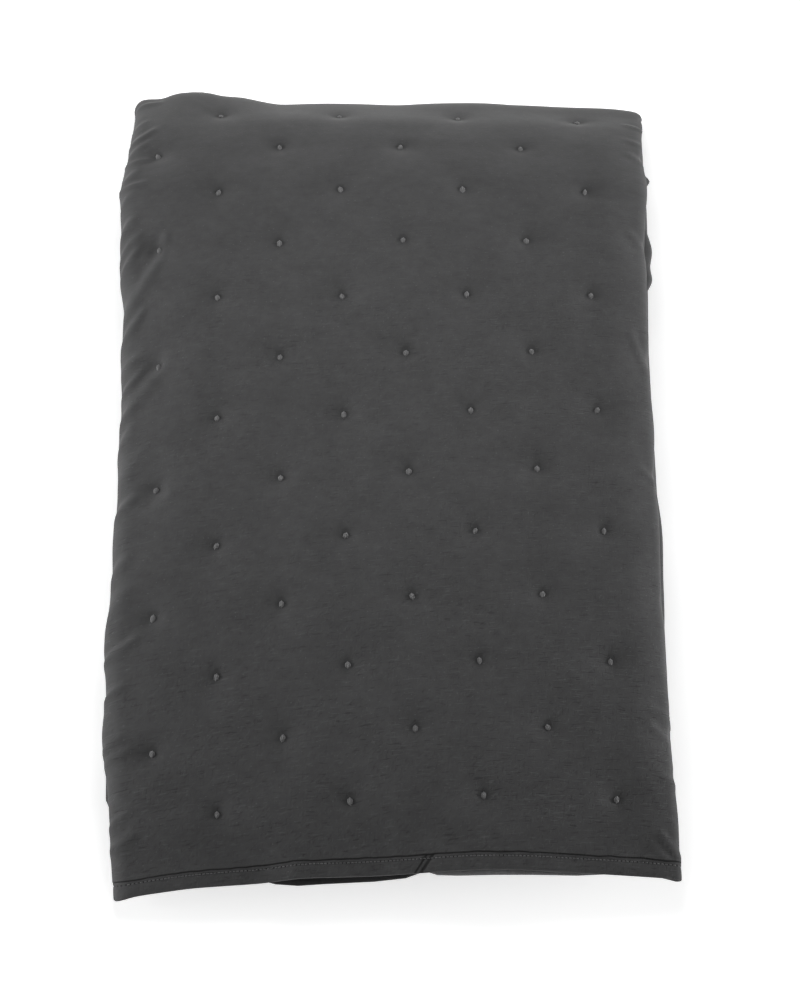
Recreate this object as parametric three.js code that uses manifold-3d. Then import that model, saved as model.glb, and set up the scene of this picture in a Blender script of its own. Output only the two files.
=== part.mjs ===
// A tied quilt folded into a low stack: both long edges folded to the middle and closed like a book,
// then the strip folded in half twice, so sixteen plies lie on one another.
// Lengths in millimetres; x runs across the stack, y from the front hem to the far fold, z up.
import * as THREE from 'three';
import Module from 'manifold-3d';

const wasm = await Module();
wasm.setup();

// Driving dimensions
const FOLDED_WIDTH = 442; // left fold to right folds
const FOLDED_LENGTH = 741; // front hem to far fold
const PLY_FILL = 0.72; // share of the ply pitch that is cloth, the rest is air
const FLAP_PITCH = 5; // ply pitch at the front hem, where nothing lies on the cloth
const FOLD_REACH = 6; // how far a fold reaches sideways, per ply of its radius
const FAR_REACH = 57; // the far fold's nose
const NEAR_FOLD_Y = 95; // where the lower strips turn back at the front
const INNER_FOLD_Y = 634; // where the middle strips turn back at the far end
const INNER_HEM_Y = 120; // the tucked hem
const SUPPORT_Y = 70; // in front of this the top strip hangs free
const KNOT_STEP_ACROSS = 105;
const KNOT_STEP_ALONG = 110;
const KNOT_COLUMN = 15; // a column of knots in the even rows
const FIRST_ROW = 60; // distance of the first row of knots from the front hem
const PUFF = 1.8; // how far the wadding swells between the knots
const PINCH = 1.2; // how far a knot pulls the face in
const PINCH_RADIUS = 17;
const KNOT_RADIUS = 2.8;
const KNOT_HEIGHT = 1.7;
const BINDING_WIDTH = 14;
const BINDING_WALL = 0.6;
const CLEARANCE = 0.3;
const HEM_HALF_THICKNESS = 0.5; // the cloth is pressed flat inside its binding

// Top of the stack along its length: height on the centre line, how much lower the sides are, how much
// higher the right side is than the middle, how far the rows bow and skew to the front at the sides,
// and how far the left and right folds reach out.
const PROFILE = [
  { y: 0, height: 48, crown: 20, lean: 6, bow: 6, skew: 1, left: 7, right: 3 },
  { y: 57, height: 68.5, crown: 18, lean: 5.5, bow: 9.5, skew: 4, left: 11, right: 0 },
  { y: 166, height: 85, crown: 15, lean: 5, bow: 7, skew: 4, left: 16, right: -2 },
  { y: 276, height: 95, crown: 13, lean: 4, bow: 4, skew: 4, left: 11, right: -4 },
  { y: 386, height: 98, crown: 12, lean: 3, bow: 1, skew: 2, left: 6.5, right: -2.5 },
  { y: 496, height: 102, crown: 12, lean: 1, bow: 0, skew: 0, left: 6.5, right: 0.5 },
  { y: 606, height: 95, crown: 11, lean: -2, bow: 0, skew: -3, left: 10, right: 7 },
  { y: 659, height: 79.5, crown: 10, lean: -3, bow: 0, skew: -4, left: 5, right: 10 },
  { y: 690, height: 65, crown: 9, lean: -4, bow: 0, skew: -5, left: 1, right: 10 },
  { y: 718, height: 50.5, crown: 7, lean: -4, bow: 0, skew: -6, left: 1.5, right: 14 },
  { y: 741, height: 42, crown: 5, lean: -3, bow: 0, skew: -6, left: 4, right: 17 },
];
const ROLL = { left: { width: 46, drop: 9 }, right: { width: 26, drop: 3 } }; // rounding to the side folds
const STRIP_SHIFT = { top: 0, bottom: -3, third: 3, second: 2 }; // how far each strip lies off the others

// Heights inside the stack are counted in ply pitches from the floor.
const STACK = 15 + PLY_FILL;
const HALF_FILL = PLY_FILL / 2;
const LEVEL = { bottom: 1.5 + HALF_FILL, third: 5.5 + HALF_FILL, second: 9.5 + HALF_FILL, top: 13.5 + HALF_FILL };
const MIDDLE = (LEVEL.top + LEVEL.bottom) / 2;
const FAR_UNIT = FAR_REACH / (6 + 1.5 + HALF_FILL);
const FAR_FOLD_Y = FOLDED_LENGTH - FAR_REACH;
const LEFT_FOLD_X = -FOLDED_WIDTH / 2 + (1.5 + HALF_FILL) * FOLD_REACH;
const RIGHT_FOLD_X = FOLDED_WIDTH / 2 - (0.5 + HALF_FILL) * FOLD_REACH;

// How far the front hems of the three lower plies lie back from the top one, across the stack.
const LOWER_HEMS = [
  { x: -195, second: 8, third: 11, fourth: 9.5 },
  { x: -90, second: 5, third: 8, fourth: 0.5 },
  { x: 15, second: 4.6, third: 9, fourth: 4.5 },
  { x: 120, second: -2, third: 11, fourth: 10 },
  { x: RIGHT_FOLD_X, second: 0, third: 9, fourth: 9 },
];
const SPINE_BACK = 8; // how far the underside of the left fold lies back

const clamp = (value) => Math.min(1, Math.max(0, value));
const smooth = (value) => clamp(value) ** 2 * (3 - 2 * clamp(value));

// One column of the profile at y: a cubic through the rows, level with its neighbours.
function profile(column, y) {
  const last = PROFILE.length - 1;
  let i = 0;
  while (i < last - 1 && y > PROFILE[i + 1].y) i += 1;
  const [before, from, to, after] = [i - 1, i, i + 1, i + 2].map((k) => PROFILE[Math.min(last, Math.max(0, k))]);
  const span = to.y - from.y;
  const t = clamp((y - from.y) / span);
  const startSlope = ((to[column] - before[column]) / (to.y - before.y)) * span;
  const endSlope = ((after[column] - from[column]) / (after.y - from.y)) * span;
  const rise = to[column] - from[column];
  return from[column] + t * startSlope + t * t * (3 * rise - 2 * startSlope - endSlope)
    + t * t * t * (startSlope + endSlope - 2 * rise);
}

// Height of the stack's top over the floor.
function topHeight(x, y) {
  const n = (2 * x) / FOLDED_WIDTH;
  const settle = smooth(y / 120);
  const left = clamp(1 - (x + FOLDED_WIDTH / 2) / ROLL.left.width);
  const right = clamp(1 - (FOLDED_WIDTH / 2 - x) / ROLL.right.width);
  const roll = ROLL.left.drop * left * left + ROLL.right.drop * right * right;
  return profile('height', y) - profile('crown', y) * n * n + profile('lean', y) * n - roll * settle;
}

// Distance from one ply to the next: the stack's height shared out, and looser in the free flap.
function plyPitch(x, y) {
  const held = topHeight(x, Math.max(y, SUPPORT_Y)) / STACK;
  return held + (FLAP_PITCH - held) * smooth(1 - (y - BINDING_WIDTH) / (SUPPORT_Y - BINDING_WIDTH));
}

// A place in the stack, from across, along and level, put into space.
function place(x, start, level, shift, back) {
  const n = (2 * x) / FOLDED_WIDTH;
  const y = start + back * smooth(1 - start / 110);
  const side = n < 0 ? -profile('left', y) : profile('right', y);
  return new THREE.Vector3(
    x + shift + side * Math.abs(n) ** 10,
    y - profile('bow', y) * n * n + profile('skew', y) * n,
    topHeight(x, y) - (STACK - level) * plyPitch(x, y),
  );
}

// The way of the strip's middle through the stack, in seven stretches: top, far fold, bottom, near fold,
// third, inner fold, second. Each place has the direction in which its first ply lies.
function wayAt(s) {
  const stretch = Math.min(6, Math.floor(s));
  const t = s - stretch;
  const mix = (a, b) => a + (b - a) * t;
  const [sin, cos] = [Math.sin(Math.PI * t), Math.cos(Math.PI * t)];
  const { top, bottom, third, second } = STRIP_SHIFT;
  switch (stretch) {
    case 0:
      return { y: mix(0, FAR_FOLD_Y), level: LEVEL.top, dy: 0, dl: 1, shift: top };
    case 1:
      return { y: FAR_FOLD_Y + 6 * FAR_UNIT * sin, level: MIDDLE + 6 * cos, dy: FAR_UNIT * sin, dl: cos,
        shift: mix(top, bottom) };
    case 2:
      return { y: mix(FAR_FOLD_Y, NEAR_FOLD_Y), level: LEVEL.bottom, dy: 0, dl: -1, shift: bottom };
    case 3:
      return { y: NEAR_FOLD_Y - 2 * FOLD_REACH * sin, level: LEVEL.bottom + 2 - 2 * cos, dy: -FOLD_REACH * sin,
        dl: -cos, shift: mix(bottom, third) };
    case 4:
      return { y: mix(NEAR_FOLD_Y, INNER_FOLD_Y), level: LEVEL.third, dy: 0, dl: 1, shift: third };
    case 5:
      return { y: INNER_FOLD_Y + 2 * FOLD_REACH * sin, level: MIDDLE - 2 * cos, dy: -FOLD_REACH * sin, dl: cos,
        shift: mix(third, second) };
    default:
      return { y: mix(INNER_FOLD_Y, INNER_HEM_Y), level: LEVEL.second, dy: 0, dl: -1, shift: second };
  }
}

// How far the top face swells (between knots) or is pulled in (at a knot), at x and distance along.
function quilting(x, along) {
  let pinch = 0;
  const firstRow = Math.round((along - FIRST_ROW) / (KNOT_STEP_ALONG / 2));
  for (let row = firstRow - 1; row <= firstRow + 1; row += 1) {
    const offset = KNOT_COLUMN + (row % 2 === 0 ? KNOT_STEP_ACROSS / 2 : 0);
    const column = Math.round((x - offset) / KNOT_STEP_ACROSS) * KNOT_STEP_ACROSS + offset;
    const away = Math.hypot(x - column, along - FIRST_ROW - (row * KNOT_STEP_ALONG) / 2);
    pinch += Math.exp(-((away / PINCH_RADIUS) ** 2));
  }
  return PUFF - (PUFF + PINCH) * pinch;
}

// Distances from the front hem along the top face, on the centre line, to the end of the far fold.
const WALK_STEPS = 800;
const walked = [0];
const faceAt = (s) => {
  const { y, level, dy, dl } = wayAt(s);
  const out = 1.5 + HALF_FILL;
  return place(0, y + out * dy, level + out * dl, 0, 0);
};
for (let i = 1; i <= WALK_STEPS; i += 1) {
  walked.push(walked[i - 1] + faceAt((2 * i) / WALK_STEPS).distanceTo(faceAt((2 * (i - 1)) / WALK_STEPS)));
}
function stationAt(distance) {
  let i = 1;
  while (i < WALK_STEPS && walked[i] < distance) i += 1;
  return (2 * (i - 1 + clamp((distance - walked[i - 1]) / (walked[i] - walked[i - 1])))) / WALK_STEPS;
}

// Stations along the strip: through every row of knots on top, closer round the folds, few where it is hidden.
const ROW_STEP = KNOT_STEP_ALONG / 4;
const stations = [
  { s: 0, along: 0 },
  { s: BINDING_WIDTH / FAR_FOLD_Y, along: BINDING_WIDTH },
  { s: stationAt(FIRST_ROW - ROW_STEP), along: FIRST_ROW - ROW_STEP },
];
for (let along = FIRST_ROW; stationAt(along) < 1; along += ROW_STEP) stations.push({ s: stationAt(along), along });
const noseStart = stations[stations.length - 1].along;
for (let along = noseStart + ROW_STEP / 2; along < walked[WALK_STEPS] - 20; along += ROW_STEP / 2) {
  stations.push({ s: stationAt(along), along });
}
const RUN_STATIONS = [170, 300, 430, 540];
const alongRun = (start, from, to) => RUN_STATIONS.map((y) => start + (y - from) / (to - from));
const roundFold = (start) => [0, 0.2, 0.4, 0.6, 0.8, 1].map((t) => start + t);
const hidden = [
  2,
  ...alongRun(2, FAR_FOLD_Y, NEAR_FOLD_Y).sort((a, b) => a - b),
  ...roundFold(3),
  ...alongRun(4, NEAR_FOLD_Y, INNER_FOLD_Y),
  ...roundFold(5),
  ...alongRun(6, INNER_FOLD_Y, INNER_HEM_Y).sort((a, b) => a - b),
  6 + (INNER_FOLD_Y - INNER_HEM_Y - 2 * BINDING_WIDTH) / (INNER_FOLD_Y - INNER_HEM_Y),
  6 + (INNER_FOLD_Y - INNER_HEM_Y - BINDING_WIDTH) / (INNER_FOLD_Y - INNER_HEM_Y),
  7,
];
hidden.forEach((s) => stations.push({ s, along: null }));

// The strip's section, as places across it with the ply they lie in and the way out of the face.
const section = [];
const flat = (rows, ply, out) => rows.forEach(({ x, back }) => section.push({ x, ply, nx: 0, np: out, back }));
const turn = (centreX, centrePly, radius, side, steps, from, start, end) => {
  for (let i = 1; i < steps; i += 1) {
    const angle = (Math.PI * i) / steps;
    const [nx, np] = [side * Math.sin(angle), from * Math.cos(angle)];
    const back = start + (end - start) * smooth(i / steps);
    section.push({ x: centreX + radius * FOLD_REACH * nx, ply: centrePly + radius * np, nx, np, back });
  }
};
const hem = (name) => LOWER_HEMS.map((row) => ({ x: row.x, back: row[name] }));
const rightHem = LOWER_HEMS[LOWER_HEMS.length - 1];
const columns = [];
for (let x = KNOT_COLUMN - 2 * KNOT_STEP_ACROSS; x < RIGHT_FOLD_X - 5; x += KNOT_STEP_ACROSS / 4) columns.unshift(x);
flat(hem('second'), 0.5, -1);
turn(RIGHT_FOLD_X, 1, 0.5, 1, 3, -1, 0, 0);
flat([RIGHT_FOLD_X, ...columns, LEFT_FOLD_X].map((x) => ({ x, back: 0 })), 1.5, 1);
turn(LEFT_FOLD_X, 0, 1.5, -1, 5, 1, 0, SPINE_BACK);
flat([{ x: LEFT_FOLD_X, back: SPINE_BACK }, ...hem('fourth')], -1.5, -1);
turn(RIGHT_FOLD_X, -1, 0.5, 1, 3, -1, rightHem.fourth, rightHem.third);
flat(hem('third').reverse(), -0.5, 1);

// A point of the cloth: a place of the section at a place of the way, a distance out of the face.
function clothPoint(way, across, out, y = way.y) {
  const unit = Math.hypot(way.dy, way.dl * plyPitch(across.x, y));
  const ply = across.ply + (out / unit) * across.np;
  const back = way.level === LEVEL.top ? across.back : 0;
  return place(across.x + out * across.nx, y + ply * way.dy, way.level + ply * way.dl, way.shift, back);
}

// A closed skin over rings of points, with flat ends. Each four-cornered patch is split across one way,
// or the other way on the sides of the ring named in turned.
function skin(rings, turned = []) {
  const count = rings[0].length;
  const index = [];
  for (let i = 0; i + 1 < rings.length; i += 1) {
    for (let j = 0; j < count; j += 1) {
      const [a, b] = [i * count + j, i * count + ((j + 1) % count)];
      if (turned.includes(j)) index.push(a, b, a + count, b, b + count, a + count);
      else index.push(a, b, b + count, a, b + count, a + count);
    }
  }
  const last = (rings.length - 1) * count;
  for (let j = 0; j + 1 < count / 2; j += 1) {
    const [a, b, c, d] = [j, j + 1, count - 2 - j, count - 1 - j];
    index.push(a, c, b, last + a, last + b, last + c, a, d, c, last + a, last + c, last + d);
  }
  return new THREE.BufferGeometry().setFromPoints(rings.flat()).setIndex(index);
}

// A geometry as a solid, and a solid as a geometry.
function solid(geometry) {
  const vertProperties = new Float32Array(geometry.getAttribute('position').array);
  const triVerts = new Uint32Array(geometry.index.array);
  const made = new wasm.Manifold(new wasm.Mesh({ numProp: 3, vertProperties, triVerts }));
  if (made.volume() > 0) return made;
  for (let i = 0; i < triVerts.length; i += 3) [triVerts[i + 1], triVerts[i + 2]] = [triVerts[i + 2], triVerts[i + 1]];
  return new wasm.Manifold(new wasm.Mesh({ numProp: 3, vertProperties, triVerts }));
}
function geometryOf(body) {
  const mesh = body.getMesh();
  const geometry = new THREE.BufferGeometry();
  geometry.setAttribute('position', new THREE.BufferAttribute(mesh.vertProperties, 3));
  geometry.setIndex(new THREE.BufferAttribute(mesh.triVerts, 1));
  geometry.computeVertexNormals();
  return geometry;
}

// The cloth's face and back at one place of the way, as a ring.
function ringAt(way, half, swell = () => 0, y = way.y) {
  const face = section.map((across) => clothPoint(way, across, half(across) + swell(across), y));
  const back = section.map((across) => clothPoint(way, across, -half(across), y));
  return [...face, ...back.reverse()];
}

// The quilt: a ring on every station, quilted where the face shows on top, pressed flat in its bindings.
const rings = stations.map(({ s, along }, i) => {
  const way = wayAt(s);
  const pressed = i < 2 || i > stations.length - 3;
  const quilted = along !== null && !pressed;
  const half = ({ x }) => (pressed ? HEM_HALF_THICKNESS : HALF_FILL * plyPitch(x, way.y));
  const swell = ({ x, ply }) => (quilted && ply === 1.5 ? quilting(x, along) * smooth(3.6 - 2 * s) : 0);
  return ringAt(way, half, swell);
});

// The knots that show: the points of the face where rows and columns meet, each raised out of its dimple.
const knots = new Map();
stations.forEach(({ s, along }, i) => {
  const row = (along - FIRST_ROW) / (KNOT_STEP_ALONG / 2);
  if (along === null || !Number.isInteger(row) || row < 0 || s > 1.5) return;
  section.forEach((across, j) => {
    const column = (across.x - KNOT_COLUMN) / KNOT_STEP_ACROSS + (row % 2 === 0 ? 0.5 : 0);
    if (across.ply !== 1.5 || !Number.isInteger(column)) return;
    const way = wayAt(s);
    const up = clothPoint(way, across, 1).sub(clothPoint(way, across, 0)).setLength(KNOT_HEIGHT);
    knots.set(i * rings[0].length + j, up);
  });
});
function raiseKnots(geometry) {
  const position = geometry.getAttribute('position');
  const points = Array.from({ length: position.count }, (_, i) => new THREE.Vector3().fromBufferAttribute(position, i));
  const feet = new Map();
  const foot = (knot, next) => {
    const key = `${knot} ${next}`;
    if (!feet.has(key)) {
      const step = points[next].clone().sub(points[knot]);
      feet.set(key, points.push(points[knot].clone().add(step.setLength(KNOT_RADIUS))) - 1);
    }
    return feet.get(key);
  };
  const index = [];
  const corners = geometry.index.array;
  for (let i = 0; i < corners.length; i += 3) {
    const triangle = [corners[i], corners[i + 1], corners[i + 2]];
    const turn = triangle.findIndex((corner) => knots.has(corner));
    if (turn < 0) {
      index.push(...triangle);
    } else {
      const [knot, b, c] = [0, 1, 2].map((k) => triangle[(turn + k) % 3]);
      const [p, q] = [foot(knot, b), foot(knot, c)];
      index.push(knot, p, q, p, b, c, p, c, q);
    }
  }
  knots.forEach((up, knot) => points[knot].add(up));
  return new THREE.BufferGeometry().setFromPoints(points).setIndex(index);
}

// A binding: a strip folded over a hem, carried across the whole section. Its walls are split like the
// cloth inside them, so that they keep their distance.
function binding(s, hemY, turned) {
  const way = wayAt(s);
  const inside = HEM_HALF_THICKNESS + CLEARANCE;
  const outside = inside + BINDING_WALL;
  const end = -CLEARANCE - BINDING_WALL;
  const folded = [
    { d: BINDING_WIDTH, out: outside },
    { d: 0, out: outside },
    { d: end, out: inside },
    { d: end, out: -inside },
    { d: 0, out: -outside },
    { d: BINDING_WIDTH, out: -outside },
    { d: BINDING_WIDTH, out: -inside },
    { d: 0, out: -inside },
    { d: -CLEARANCE, out: -inside },
    { d: -CLEARANCE, out: inside },
    { d: 0, out: inside },
    { d: BINDING_WIDTH, out: inside },
  ];
  const fold = (across) => folded.map(({ d, out }) => clothPoint(way, across, out, hemY + d));
  return solid(skin(section.map(fold), turned));
}
const OUTER_WALLS = [0, 4];
const INNER_WALLS = [6, 10];

const cotton = new THREE.MeshStandardMaterial({ color: '#48484a', roughness: 0.95, metalness: 0 });
const bindingCotton = new THREE.MeshStandardMaterial({ color: '#434345', roughness: 0.95, metalness: 0 });
const bedspread = new THREE.Group();
const add = (name, body, material) => {
  const mesh = new THREE.Mesh(geometryOf(body), material);
  mesh.name = name;
  bedspread.add(mesh);
};
add('quilt', solid(raiseKnots(skin(rings))), cotton);
add('binding_front', binding(0, 0, OUTER_WALLS), bindingCotton);
add('binding_inner', binding(7, INNER_HEM_Y, INNER_WALLS), bindingCotton);

// The origin is on the floor under the middle of the stack.
const box = new THREE.Box3().setFromObject(bedspread);
const middle = box.getCenter(new THREE.Vector3());
bedspread.position.set(-middle.x, -middle.y, -box.min.z);

export default bedspread;
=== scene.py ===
# %% [markdown]
# # A tied quilt, folded into a low stack
# The real object is a wadded cotton bed cover. Threads knotted through the wadding tie its two faces
# together, and a strip of the same cloth binds its edges. Both long edges are folded to the middle and
# closed like a book, and the long strip that this makes is folded in half twice.
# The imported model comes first, because it gives the place and the size of every piece.

import bpy
import numpy as np
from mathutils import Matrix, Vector


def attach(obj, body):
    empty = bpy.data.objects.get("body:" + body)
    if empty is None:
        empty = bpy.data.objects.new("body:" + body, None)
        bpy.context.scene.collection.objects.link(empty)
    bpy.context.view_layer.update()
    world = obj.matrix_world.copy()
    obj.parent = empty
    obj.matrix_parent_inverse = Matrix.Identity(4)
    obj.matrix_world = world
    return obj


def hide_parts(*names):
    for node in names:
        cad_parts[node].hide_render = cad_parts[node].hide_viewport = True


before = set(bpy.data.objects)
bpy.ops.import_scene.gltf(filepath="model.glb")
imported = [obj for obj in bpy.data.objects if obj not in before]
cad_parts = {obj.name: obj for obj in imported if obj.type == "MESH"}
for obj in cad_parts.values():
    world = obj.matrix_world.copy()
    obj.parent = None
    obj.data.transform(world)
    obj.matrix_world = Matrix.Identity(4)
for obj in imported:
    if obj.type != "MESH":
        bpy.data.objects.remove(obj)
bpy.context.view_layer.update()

# %% [markdown]
# ## The sizes of the stack
# A folded cloth could be simulated, but sixteen plies in a heap rarely settle the same way twice.
# Here the stack is described instead. A short table gives the height, the slopes and the reach of
# the stack at places along its length, and everything else is counted in plies inside that outline.

# %% Sizes in millimetres
MM = 0.001
WIDTH = 442.0  # left fold to right folds
LENGTH = 741.0  # front hem to far fold
PLY_FILL = 0.72  # share of the ply pitch that is cloth
FLAP_PITCH = 5.0  # ply pitch at the free front hem
FOLD_REACH = 6.0  # how far a fold reaches sideways, per ply of its radius
FAR_REACH = 57.0  # how far the far fold reaches past its middle
NEAR_FOLD_Y, INNER_FOLD_Y, INNER_HEM_Y = 95.0, 634.0, 120.0  # the hidden folds and hem
SUPPORT_Y = 70.0  # in front of this the top strip hangs free
BINDING_WIDTH = 13.0
HEM_HALF = 0.5  # half of the cloth's thickness inside its binding
ORIGIN = np.array([2.4842, -368.2286, 0.0])  # from the front hem's middle to the floor under the stack

# Heights inside the stack are counted in plies: sixteen of them, in four strips of four.
STACK = 15 + PLY_FILL
HALF_FILL = PLY_FILL / 2
BOTTOM, THIRD, SECOND, TOP = 1.5 + HALF_FILL, 5.5 + HALF_FILL, 9.5 + HALF_FILL, 13.5 + HALF_FILL
MIDDLE = (TOP + BOTTOM) / 2
FAR_UNIT = FAR_REACH / (7.5 + HALF_FILL)  # reach of the far fold for each ply of its radius
FAR_FOLD_Y = LENGTH - FAR_REACH
LEFT_FOLD_X = -WIDTH / 2 + (1.5 + HALF_FILL) * FOLD_REACH
RIGHT_FOLD_X = WIDTH / 2 - (0.5 + HALF_FILL) * FOLD_REACH


def table(columns, rows):
    """The columns of a table, by name."""
    return dict(zip(columns, np.array(rows, float).T))


# At each y: height of the centre line, drop of the rims, rise of the right rim, how far the rims lie
# nearer and the right rim further back, reach past each side fold, and width of each rounded rim.
PROFILE_COLUMNS = (
    "y", "height", "crown", "lean", "bow", "skew", "left", "right", "round_left", "round_right")
PROFILE = table(PROFILE_COLUMNS, [
    (0, 48, 20, 6, 6, 1, 6, 3, 26, 24),
    (57, 68.5, 18, 5.5, 9.5, 4, 10, 0, 33, 30),
    (166, 85, 15, 5, 7, 4, 14.8, -2.5, 39, 36),
    (276, 95, 13, 4, 4, 4, 9.8, -1.2, 54, 40),
    (386, 98, 12, 3, 1, 2, 5.2, -1.5, 70, 40),
    (496, 102, 12, 1, 0, 0, 5.5, 0.5, 70, 40),
    (606, 95, 11, -2, 0, -3, 8.5, 7, 56, 40),
    (659, 79.5, 10, -3, 0, -4, 4, 10, 48, 36),
    (690, 65, 9, -4, 0, -5, 1, 10, 44, 32),
    (718, 50.5, 7, -4, 0, -6, 1.5, 15.5, 44, 28),
    (741, 42, 5, -3, 0, -6, 4, 19, 44, 24),
])
print("stack", WIDTH, "x", LENGTH, "mm,", len(PROFILE["y"]), "places along it")

# %% [markdown]
# ## The outline of the stack
# Real cloth has no straight edge. A sculpted mesh could show that, but its numbers could not be used
# again for the plies below. Here the outline runs in smooth cubics between the rows of a table, and two
# more tables make the far fold and the front hem as uneven as cloth is.

# %% Tables of the outline
RIM_SLOPE_LEFT, RIM_SLOPE_RIGHT = 0.37, 0.45  # where the rounding ends at the side folds
ROUNDING_START, ROUNDING_SPAN = -45.0, 150.0  # along the stack, where the rims become round
SIDE_POWER = 10  # keeps the sides' reach close to the rims
DRAWN_SPAN = 110.0  # behind the hem, where a lower ply comes back under the top one
PRESSED_UP = 0.6  # rise of a lower hem for each millimetre that it reaches out
FAR_EDGE_START, FAR_EDGE_SPAN = 690.0, 50.0  # along the stack, where the far edge becomes uneven
FAR_EDGE = table(("x", "reach"), [
    (-222, 4), (-208, 5), (-196, 5), (-186, 8.5), (-177, 10), (-158, 9.5), (-142, 5.5), (-124, 3.5),
    (-107, -0.5), (-89, -3.5), (-37, -3), (16, -2.5), (86, 0), (121, -0.5), (156, -2.5), (191, -2.5),
    (207, -3), (215, -4), (222, -8)])
HEM_EDGE = table(("x", "lift"), [
    (-222, -3), (-186, -0.5), (-163, 0.3), (-136, -2.5), (-108, -4.3), (-78, -0.7), (-46, -3.7),
    (-15, -5), (15, -2.1), (46, 2.2), (78, 4.7), (108, 3.1), (140, 0.7), (170, -0.3), (222, -1)])
HEM_CORNERS = [(-224, 11, 3.6)]  # middle, half-width and reach of a corner that is drawn out
print("far edge from", FAR_EDGE["reach"].min(), "to", FAR_EDGE["reach"].max(), "mm past its line")

# %% Outline functions


def smooth(value):
    """Smooth step: three squares less two cubes, held at 0 below 0 and at 1 above 1."""
    value = np.clip(value, 0, 1)
    return value * value * (3 - 2 * value)


def together(*values):
    """Values of matching shapes, side by side in a last axis."""
    return np.stack(np.broadcast_arrays(*values), -1)


def bells(rows, at):
    """Sum of bells: each row's height times exp of minus the square of its distance in half-widths."""
    return sum(height * np.exp(-(((at - middle) / width) ** 2)) for middle, width, height in rows)


def curve(places, values, at):
    """A curve through a table: in each stretch the cubic that keeps the slope of its neighbours."""
    last = len(places) - 1
    i = np.clip(np.searchsorted(places, at) - 1, 0, last - 1)
    before, after = np.maximum(i - 1, 0), np.minimum(i + 2, last)
    span = places[i + 1] - places[i]
    t = np.clip((at - places[i]) / span, 0, 1)
    start = (values[i + 1] - values[before]) / (places[i + 1] - places[before]) * span
    end = (values[after] - values[i]) / (places[after] - places[i]) * span
    rise = values[i + 1] - values[i]
    return values[i] + t * start + t**2 * (3 * rise - 2 * start - end) + t**3 * (start + end - 2 * rise)


def profile(column, y):
    """One column of the profile at y."""
    return curve(PROFILE["y"], PROFILE[column], y)


def rounding(inside, width, slope):
    """Drop of a rounded rim: a parabola from nothing at its width to the given slope at the rim."""
    return slope / 2 * width * np.clip(1 - inside / width, 0, 1) ** 2


def top_height(x, y):
    """Height of the stack: centre line, less a crown that grows with the square of x, plus a lean.

    The rims are rounded down to the side folds."""
    n = 2 * x / WIDTH
    drop = (rounding(WIDTH / 2 + x, profile("round_left", y), RIM_SLOPE_LEFT)
            + rounding(WIDTH / 2 - x, profile("round_right", y), RIM_SLOPE_RIGHT))
    flat = profile("height", y) - profile("crown", y) * n * n + profile("lean", y) * n
    return flat - drop * smooth((y - ROUNDING_START) / ROUNDING_SPAN)


def ply_pitch(x, y):
    """Distance from ply to ply: the height shared out, going over to the flap's pitch at the hem."""
    held = top_height(x, np.maximum(y, SUPPORT_Y)) / STACK
    loose = smooth(1 - (y - BINDING_WIDTH) / (SUPPORT_Y - BINDING_WIDTH))
    return held + (FLAP_PITCH - held) * loose


def place(x, start, level, shift, drawn):
    """A place across, along and up the stack put into space: bowed, skewed and waved like the outline.

    A lower hem that reaches out past the top one (drawn below 0) is pressed up against it, and a corner
    of the hem is drawn out to the front."""
    n = 2 * x / WIDTH
    y = start + drawn * smooth(1 - start / DRAWN_SPAN)
    side = np.where(n < 0, -profile("left", y), profile("right", y))
    far = curve(FAR_EDGE["x"], FAR_EDGE["reach"], x) * smooth((y - FAR_EDGE_START) / FAR_EDGE_SPAN)
    lift = curve(HEM_EDGE["x"], HEM_EDGE["lift"], x) + PRESSED_UP * np.maximum(-drawn, 0)
    lift = lift * smooth(1 - y / SUPPORT_Y)
    corner = bells(HEM_CORNERS, x) * smooth(1 - y / BINDING_WIDTH)
    return together(
        x + shift + side * np.abs(n) ** SIDE_POWER,
        y - profile("bow", y) * n * n + profile("skew", y) * n + far - corner,
        top_height(x, y) - (STACK - level) * ply_pitch(x, y) + lift)


print("height over the middle", np.round(top_height(0.0, np.array([0.0, LENGTH / 2, LENGTH])), 1))

# %% [markdown]
# ## The way of the strip
# Seen from the side, the strip runs along the top from the front hem, round the far fold, back along the
# floor, round a near fold, out again and round an inner fold to its hidden hem. Each stretch is one
# unit of a single parameter, so one function gives the whole way.

# %% The strip's way
STRETCHES = 7  # runs and turns, one after the other
FAR_TURN, NEAR_TURN = 6, 2  # radius of the far turn and of the two others, in plies
SHIFT_TOP, SHIFT_BOTTOM, SHIFT_THIRD, SHIFT_SECOND = 0.0, -2.0, 3.0, 2.0  # sideways, of each run


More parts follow.
